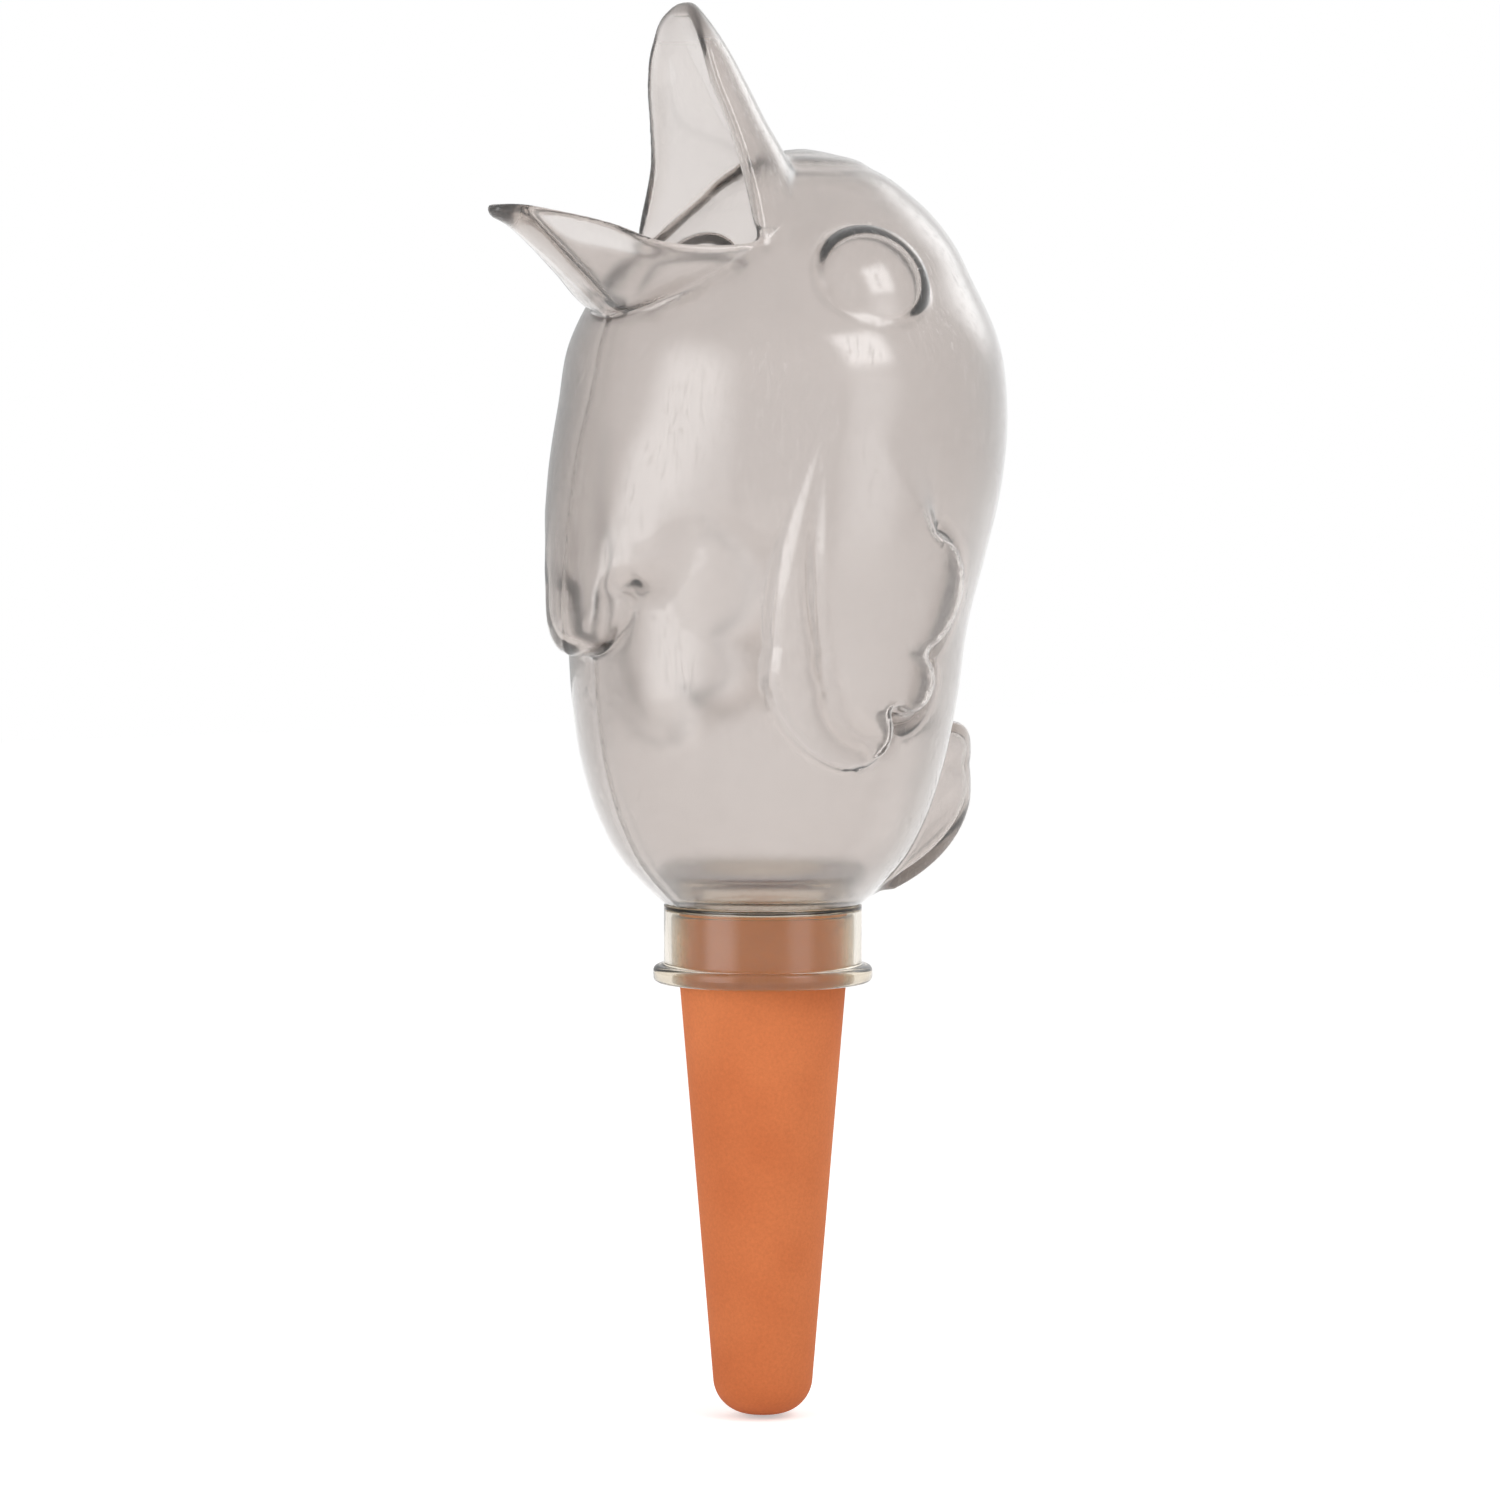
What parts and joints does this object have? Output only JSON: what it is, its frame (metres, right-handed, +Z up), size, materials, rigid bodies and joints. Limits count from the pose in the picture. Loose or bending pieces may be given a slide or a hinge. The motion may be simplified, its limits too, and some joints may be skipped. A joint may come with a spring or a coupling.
{
  "type": "self-watering spike",
  "caption": "Clear hollow bird with a wide open beak as its filling funnel, on a collar that sits over an unglazed clay cone pushed into the soil.",
  "frame": {"origin": "centre of the collar's underside, which rests on the soil", "axes": "+Z up along the clay cone's axis, the bird looks towards -Y, its left side is +X"},
  "size_m": [0.0674, 0.0782, 0.1973],
  "materials": {
    "clear_plastic": "clear moulded plastic with a faint smoky tint, glossy",
    "clear_silicone": "clear soft silicone, slightly yellow",
    "terracotta": "unglazed fired clay, matt and fine-grained"
  },
  "bodies": {
    "spike": {"clay_cone": "terracotta", "seal_sleeve": "clear_silicone"},
    "bird": {"left_shell": "clear_plastic", "right_shell": "clear_plastic", "neck_collar": "clear_plastic"}
  },
  "joints": [
    {"name": "bird_lift", "type": "slide", "parent": "spike", "child": "bird", "axis": [0, 0, 1], "range_m": [0, 0.014]}
  ]
}
